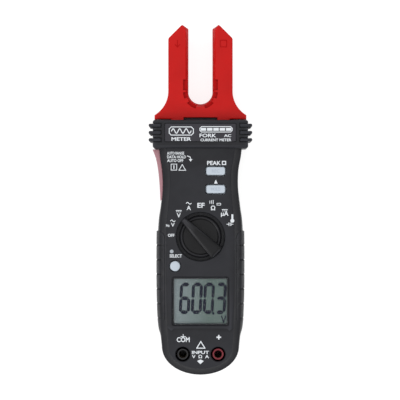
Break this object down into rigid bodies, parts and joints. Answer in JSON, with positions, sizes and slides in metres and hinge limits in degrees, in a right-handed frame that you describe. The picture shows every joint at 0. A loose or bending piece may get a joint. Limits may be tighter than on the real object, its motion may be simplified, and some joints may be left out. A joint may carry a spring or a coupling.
{
  "type": "fork clamp meter",
  "caption": "Hand-held open-fork current meter with a rotary selector, a display, push keys, input sockets and a battery door.",
  "frame": {"origin": "centre of the bounding box's bottom, on the flat back that the meter lies on", "axes": "+Z out of the front face, +Y towards the fork's tips, +X to the right seen from the front"},
  "size_m": [0.0558, 0.19, 0.0315],
  "materials": {
    "case_black": "fine texture",
    "fork_red": "satin",
    "plate_grey": "satin",
    "clear_lens": "clear",
    "lcd_green": "smooth",
    "key_pale": "matte",
    "socket_black": "satin",
    "socket_red": "satin",
    "brass": "plated",
    "steel": "plated",
    "board_green": "solder mask",
    "copper": "enamelled winding",
    "core_grey": "laminated",
    "part_black": "moulded",
    "rubber_grey": "matte",
    "disc_blue": "lacquered",
    "cell_jacket": "printed film on steel",
    "frame_white": "moulded"
  },
  "bodies": {
    "housing": {"front_case": "case_black", "rear_case": "case_black", "fork_front_shell": "fork_red", "fork_rear_shell": "fork_red", "side_insert": "fork_red", "name_plate": "plate_grey", "display_lens": "clear_lens", "lcd_glass": "lcd_green", "lcd_frame": "frame_white", "lcd_strip_upper": "rubber_grey", "lcd_strip_lower": "rubber_grey", "main_board": "board_green", "fork_core": "core_grey", "fork_coil_left": "copper", "fork_coil_right": "copper", "fork_board": "board_green", "key_mat": "rubber_grey", "select_mat": "rubber_grey", "com_socket": "socket_black", "com_contact": "brass", "volt_socket": "socket_red", "volt_contact": "brass", "detent_spring": "steel", "buzzer": "part_black", "ptc_thermistor": "disc_blue", "surge_varistor": "disc_blue", "meter_chip": "part_black", "crystal": "steel", "battery_1": "cell_jacket", "battery_2": "cell_jacket", "battery_spring_1": "steel", "battery_spring_2": "steel", "battery_link": "steel", "battery_plate_positive": "steel", "battery_plate_negative": "steel", "case_screw_1": "steel", "case_screw_2": "steel", "case_screw_3": "steel", "case_screw_4": "steel", "board_screw_1": "steel", "board_screw_2": "steel"},
    "selector": {"selector_knob": "case_black", "selector_rotor": "frame_white", "wiper_inner": "brass", "wiper_outer": "brass"},
    "rec_button": {"rec_key": "key_pale"},
    "hold_button": {"hold_key": "key_pale"},
    "select_button": {"select_key": "key_pale"},
    "door": {"battery_door": "case_black", "door_screw": "steel", "door_foam": "rubber_grey"}
  },
  "joints": [
    {"name": "selector_turn", "type": "hinge", "parent": "housing", "child": "selector", "pos_m": [0, -0.0199, 0.0235], "axis": [0, 0, 1], "range_deg": [-112.5, 45]},
    {"name": "rec_press", "type": "slide", "parent": "housing", "child": "rec_button", "axis": [0, 0, -1], "range_m": [0, 0.0008], "stiffness_N_per_m": 400, "springref_m": -0.0008},
    {"name": "hold_press", "type": "slide", "parent": "housing", "child": "hold_button", "axis": [0, 0, -1], "range_m": [0, 0.0008], "stiffness_N_per_m": 400, "springref_m": -0.0008},
    {"name": "select_press", "type": "slide", "parent": "housing", "child": "select_button", "axis": [0, 0, -1], "range_m": [0, 0.0008], "stiffness_N_per_m": 400, "springref_m": -0.0008},
    {"name": "battery_door_off", "type": "slide", "parent": "housing", "child": "door", "axis": [0, 0, -1], "range_m": [0, 0.014]}
  ]
}
